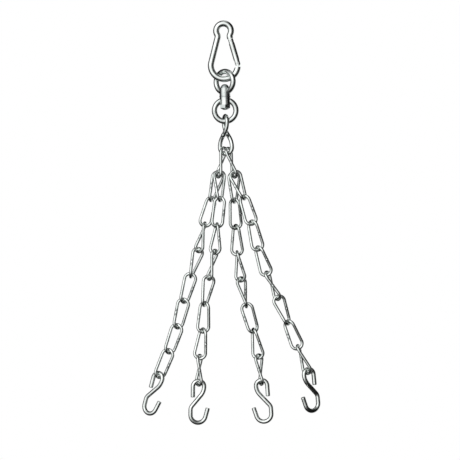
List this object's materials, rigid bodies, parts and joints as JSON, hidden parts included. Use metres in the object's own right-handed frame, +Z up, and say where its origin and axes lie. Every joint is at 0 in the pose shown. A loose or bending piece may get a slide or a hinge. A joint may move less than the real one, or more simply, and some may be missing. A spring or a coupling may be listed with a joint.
{
  "type": "four leg chain sling",
  "caption": "Light-duty hanging chain set: snap hook, swivel and twisted master link over chain legs that each end in an open S-hook.",
  "frame": {"origin": "inside top of the snap hook, where it bears on the bar or eye it hangs from", "axes": "+Z up along the hanging line, X across the fan of legs with the gate of the snap hook on +X, +Y away from the front"},
  "size_m": [0.2325, 0.043, 0.5262],
  "materials": {
    "snap_steel": "bright zinc plated forged and bent steel wire",
    "pin_steel": "plated rivet steel",
    "spring_steel": "drawn spring wire",
    "swivel_steel": "bright zinc plated drop forged eye",
    "swivel_fastener_steel": "bright zinc plated pin, washer and nut",
    "master_link_steel": "bright zinc plated wire, butt welded",
    "chain_steel": "bright zinc plated wire, butt welded",
    "hook_steel": "bright zinc plated bent wire, cut ends"
  },
  "bodies": {
    "snap": {"snap_body": "snap_steel"},
    "gate": {"snap_gate": "snap_steel", "gate_pivot_pin": "pin_steel", "gate_latch_pin": "pin_steel", "gate_spring": "spring_steel"},
    "swivel_upper": {"swivel_upper_eye": "swivel_steel"},
    "swivel_lower": {"swivel_lower_eye": "swivel_steel", "swivel_pin": "swivel_fastener_steel", "swivel_washer": "swivel_fastener_steel", "swivel_nut": "swivel_fastener_steel"},
    "master_link": {"master_link": "master_link_steel"},
    "coupling_left": {"coupling_link_left": "chain_steel"},
    "coupling_right": {"coupling_link_right": "chain_steel"},
    "leg_1_link_1": {"leg_1_link_1": "chain_steel"},
    "leg_1_link_2": {"leg_1_link_2": "chain_steel"},
    "leg_1_link_3": {"leg_1_link_3": "chain_steel"},
    "leg_1_link_4": {"leg_1_link_4": "chain_steel"},
    "leg_1_link_5": {"leg_1_link_5": "chain_steel"},
    "leg_1_link_6": {"leg_1_link_6": "chain_steel"},
    "leg_1_link_7": {"leg_1_link_7": "chain_steel"},
    "leg_1_link_8": {"leg_1_link_8": "chain_steel"},
    "hook_1": {"hook_1": "hook_steel"},
    "leg_2_link_1": {"leg_2_link_1": "chain_steel"},
    "leg_2_link_2": {"leg_2_link_2": "chain_steel"},
    "leg_2_link_3": {"leg_2_link_3": "chain_steel"},
    "leg_2_link_4": {"leg_2_link_4": "chain_steel"},
    "leg_2_link_5": {"leg_2_link_5": "chain_steel"},
    "leg_2_link_6": {"leg_2_link_6": "chain_steel"},
    "leg_2_link_7": {"leg_2_link_7": "chain_steel"},
    "leg_2_link_8": {"leg_2_link_8": "chain_steel"},
    "hook_2": {"hook_2": "hook_steel"},
    "leg_3_link_1": {"leg_3_link_1": "chain_steel"},
    "leg_3_link_2": {"leg_3_link_2": "chain_steel"},
    "leg_3_link_3": {"leg_3_link_3": "chain_steel"},
    "leg_3_link_4": {"leg_3_link_4": "chain_steel"},
    "leg_3_link_5": {"leg_3_link_5": "chain_steel"},
    "leg_3_link_6": {"leg_3_link_6": "chain_steel"},
    "leg_3_link_7": {"leg_3_link_7": "chain_steel"},
    "leg_3_link_8": {"leg_3_link_8": "chain_steel"},
    "hook_3": {"hook_3": "hook_steel"},
    "leg_4_link_1": {"leg_4_link_1": "chain_steel"},
    "leg_4_link_2": {"leg_4_link_2": "chain_steel"},
    "leg_4_link_3": {"leg_4_link_3": "chain_steel"},
    "leg_4_link_4": {"leg_4_link_4": "chain_steel"},
    "leg_4_link_5": {"leg_4_link_5": "chain_steel"},
    "leg_4_link_6": {"leg_4_link_6": "chain_steel"},
    "leg_4_link_7": {"leg_4_link_7": "chain_steel"},
    "leg_4_link_8": {"leg_4_link_8": "chain_steel"},
    "hook_4": {"hook_4": "hook_steel"}
  },
  "joints": [
    {"name": "gate_hinge", "type": "hinge", "parent": "snap", "child": "gate", "pos_m": [0.01725, 0, -0.04792], "axis": [0, -1, 0], "range_deg": [0, 15], "stiffness_Nm_per_rad": 0.2, "springref_deg": -17.19},
    {"name": "upper_eye_swing", "type": "hinge", "parent": "snap", "child": "swivel_upper", "pos_m": [0, 0, -0.0682], "axis": [1, 0, 0], "range_deg": [-21, 21]},
    {"name": "swivel_turn", "type": "hinge", "parent": "swivel_upper", "child": "swivel_lower", "pos_m": [0, 0, -0.10925], "axis": [0, 0, 1], "continuous": true},
    {"name": "master_link_swing", "type": "hinge", "parent": "swivel_lower", "child": "master_link", "pos_m": [0, 0, -0.12325], "axis": [1, 0, 0], "range_deg": [-40, 40]},
    {"name": "coupling_left_swing", "type": "hinge", "parent": "master_link", "child": "coupling_left", "pos_m": [-0.00233, 0.00076, -0.1656], "axis": [-0.9511, 0.309, 0], "range_deg": [-9, 15]},
    {"name": "coupling_right_swing", "type": "hinge", "parent": "master_link", "child": "coupling_right", "pos_m": [0.00233, -0.00076, -0.1656], "axis": [0.9511, -0.309, 0], "range_deg": [-8, 13]},
    {"name": "leg_1_link_1_swing", "type": "hinge", "parent": "coupling_left", "child": "leg_1_link_1", "pos_m": [-0.00957, 0.00306, -0.18898], "axis": [-0.9501, -0.1553, 0.2705], "range_deg": [-40, 3]},
    {"name": "leg_1_link_2_swing", "type": "hinge", "parent": "leg_1_link_1", "child": "leg_1_link_2", "pos_m": [-0.01959, 0.00729, -0.22166], "axis": [-0.6195, 0.7391, 0.2645], "range_deg": [-35, 40]},
    {"name": "leg_1_link_3_swing", "type": "hinge", "parent": "leg_1_link_2", "child": "leg_1_link_3", "pos_m": [-0.03055, 0.01135, -0.25866], "axis": [-0.9256, -0.2908, 0.2423], "range_deg": [-40, 17]},
    {"name": "leg_1_link_4_swing", "type": "hinge", "parent": "leg_1_link_3", "child": "leg_1_link_4", "pos_m": [-0.0391, 0.0124, -0.29202], "axis": [-0.7469, 0.6289, 0.2158], "range_deg": [-31, 40]},
    {"name": "leg_1_link_5_swing", "type": "hinge", "parent": "leg_1_link_4", "child": "leg_1_link_5", "pos_m": [-0.04956, 0.01232, -0.32485], "axis": [-0.0831, -0.9962, 0.0262], "range_deg": [-40, 40]},
    {"name": "leg_1_link_6_swing", "type": "hinge", "parent": "leg_1_link_5", "child": "leg_1_link_6", "pos_m": [-0.05842, 0.01232, -0.35361], "axis": [-0.9237, 0.2924, 0.2475], "range_deg": [-40, 40]},
    {"name": "leg_1_link_7_swing", "type": "hinge", "parent": "leg_1_link_6", "child": "leg_1_link_7", "pos_m": [-0.06846, 0.01232, -0.39109], "axis": [0.6463, 0.7431, -0.1732], "range_deg": [-40, 40]},
    {"name": "leg_1_link_8_swing", "type": "hinge", "parent": "leg_1_link_7", "child": "leg_1_link_8", "pos_m": [-0.08072, 0.01232, -0.42329], "axis": [-0.685, -0.682, 0.2561], "range_deg": [-40, 40]},
    {"name": "hook_1_swing", "type": "hinge", "parent": "leg_1_link_8", "child": "hook_1", "pos_m": [-0.09457, 0.01232, -0.45484], "axis": [0.7227, 0.6157, -0.3142], "range_deg": [-40, 40]},
    {"name": "leg_2_link_1_swing", "type": "hinge", "parent": "coupling_left", "child": "leg_2_link_1", "pos_m": [-0.0093, -0.00169, -0.1878], "axis": [-0.9816, -0.1894, 0.0233], "range_deg": [-3, 40]},
    {"name": "leg_2_link_2_swing", "type": "hinge", "parent": "leg_2_link_1", "child": "leg_2_link_2", "pos_m": [-0.00902, -0.00593, -0.222], "axis": [0.82, -0.5704, -0.0475], "range_deg": [-40, 19]},
    {"name": "leg_2_link_3_swing", "type": "hinge", "parent": "leg_2_link_2", "child": "leg_2_link_3", "pos_m": [-0.01357, -0.00968, -0.25595], "axis": [-0.0901, 0.9956, -0.0263], "range_deg": [-19, 40]},
    {"name": "leg_2_link_4_swing", "type": "hinge", "parent": "leg_2_link_3", "child": "leg_2_link_4", "pos_m": [-0.01728, -0.01103, -0.29455], "axis": [-0.9365, 0.3418, 0.0782], "range_deg": [-40, 40]},
    {"name": "leg_2_link_5_swing", "type": "hinge", "parent": "leg_2_link_4", "child": "leg_2_link_5", "pos_m": [-0.02468, -0.01096, -0.32374], "axis": [-0.9704, -0.1392, 0.1974], "range_deg": [-40, 40]},
    {"name": "leg_2_link_6_swing", "type": "hinge", "parent": "leg_2_link_5", "child": "leg_2_link_6", "pos_m": [-0.03181, -0.01096, -0.35745], "axis": [-0.6408, 0.766, 0.0504], "range_deg": [-25, 37]},
    {"name": "leg_2_link_7_swing", "type": "hinge", "parent": "leg_2_link_6", "child": "leg_2_link_7", "pos_m": [-0.03485, -0.01096, -0.39613], "axis": [0.9629, 0.2588, -0.0758], "range_deg": [-40, 40]},
    {"name": "leg_2_link_8_swing", "type": "hinge", "parent": "leg_2_link_7", "child": "leg_2_link_8", "pos_m": [-0.0401, -0.01096, -0.43018], "axis": [-0.989, 0, 0.1478], "range_deg": [-40, 40]},
    {"name": "hook_2_swing", "type": "hinge", "parent": "leg_2_link_8", "child": "hook_2", "pos_m": [-0.04177, -0.01096, -0.4663], "axis": [-0.1735, 0.9848, 0.0076], "range_deg": [-40, 40]},
    {"name": "leg_3_link_1_swing", "type": "hinge", "parent": "coupling_right", "child": "leg_3_link_1", "pos_m": [0.00969, 0.00144, -0.19006], "axis": [0.9903, 0.1381, 0.017], "range_deg": [-1, 40]},
    {"name": "leg_3_link_2_swing", "type": "hinge", "parent": "leg_3_link_1", "child": "leg_3_link_2", "pos_m": [0.00961, 0.00568, -0.22425], "axis": [-0.6969, 0.7154, 0.0509], "range_deg": [-40, 19]},
    {"name": "leg_3_link_3_swing", "type": "hinge", "parent": "leg_3_link_2", "child": "leg_3_link_3", "pos_m": [0.01096, 0.00974, -0.26282], "axis": [-0.9438, -0.3238, -0.067], "range_deg": [-40, 40]},
    {"name": "leg_3_link_4_swing", "type": "hinge", "parent": "leg_3_link_3", "child": "leg_3_link_4", "pos_m": [0.01184, 0.01078, -0.29724], "axis": [-0.9983, 0.0523, -0.0243], "range_deg": [-40, 40]},
    {"name": "leg_3_link_5_swing", "type": "hinge", "parent": "leg_3_link_4", "child": "leg_3_link_5", "pos_m": [0.01593, 0.01071, -0.33145], "axis": [-0.8853, 0.454, -0.1009], "range_deg": [-40, 31]},
    {"name": "leg_3_link_6_swing", "type": "hinge", "parent": "leg_3_link_5", "child": "leg_3_link_6", "pos_m": [0.02138, 0.01071, -0.36106], "axis": [-0.887, 0.3907, -0.246], "range_deg": [-31, 40]},
    {"name": "leg_3_link_7_swing", "type": "hinge", "parent": "leg_3_link_6", "child": "leg_3_link_7", "pos_m": [0.03175, 0.01071, -0.39845], "axis": [-0.7161, -0.6691, -0.1986], "range_deg": [-40, 40]},
    {"name": "leg_3_link_8_swing", "type": "hinge", "parent": "leg_3_link_7", "child": "leg_3_link_8", "pos_m": [0.03721, 0.01071, -0.43247], "axis": [0.957, -0.2419, 0.1601], "range_deg": [-40, 25]},
    {"name": "hook_3_swing", "type": "hinge", "parent": "leg_3_link_8", "child": "hook_3", "pos_m": [0.03984, 0.01071, -0.46853], "axis": [0.0696, 0.9976, 0.0043], "range_deg": [-40, 40]},
    {"name": "leg_4_link_1_swing", "type": "hinge", "parent": "coupling_right", "child": "leg_4_link_1", "pos_m": [0.00935, -0.00316, -0.1886], "axis": [0.9346, 0.1553, 0.3199], "range_deg": [-40, 1]},
    {"name": "leg_4_link_2_swing", "type": "hinge", "parent": "leg_4_link_1", "child": "leg_4_link_2", "pos_m": [0.02117, -0.00739, -0.22068], "axis": [0.657, -0.7032, 0.2717], "range_deg": [-40, 40]},
    {"name": "leg_4_link_3_swing", "type": "hinge", "parent": "leg_4_link_2", "child": "leg_4_link_3", "pos_m": [0.03213, -0.01145, -0.25768], "axis": [0.9111, 0.3401, 0.2326], "range_deg": [-40, 40]},
    {"name": "leg_4_link_4_swing", "type": "hinge", "parent": "leg_4_link_3", "child": "leg_4_link_4", "pos_m": [0.03943, -0.0125, -0.29134], "axis": [0.953, 0.2248, 0.2032], "range_deg": [-40, 40]},
    {"name": "leg_4_link_5_swing", "type": "hinge", "parent": "leg_4_link_4", "child": "leg_4_link_5", "pos_m": [0.05028, -0.01242, -0.32404], "axis": [0.9498, 0.0523, 0.3086], "range_deg": [-18, 34]},
    {"name": "leg_4_link_6_swing", "type": "hinge", "parent": "leg_4_link_5", "child": "leg_4_link_6", "pos_m": [0.06391, -0.01242, -0.35568], "axis": [-0.554, 0.7986, -0.2351], "range_deg": [-39, 40]},
    {"name": "leg_4_link_7_swing", "type": "hinge", "parent": "leg_4_link_6", "child": "leg_4_link_7", "pos_m": [0.07461, -0.01242, -0.38382], "axis": [0.5981, -0.766, 0.2356], "range_deg": [-40, 40]},
    {"name": "leg_4_link_8_swing", "type": "hinge", "parent": "leg_4_link_7", "child": "leg_4_link_8", "pos_m": [0.08883, -0.01242, -0.41992], "axis": [0.8987, 0.2588, 0.354], "range_deg": [-40, 40]},
    {"name": "hook_4_swing", "type": "hinge", "parent": "leg_4_link_8", "child": "hook_4", "pos_m": [0.10093, -0.01242, -0.45397], "axis": [0.5131, -0.8572, 0.0449], "range_deg": [-40, 40]}
  ]
}
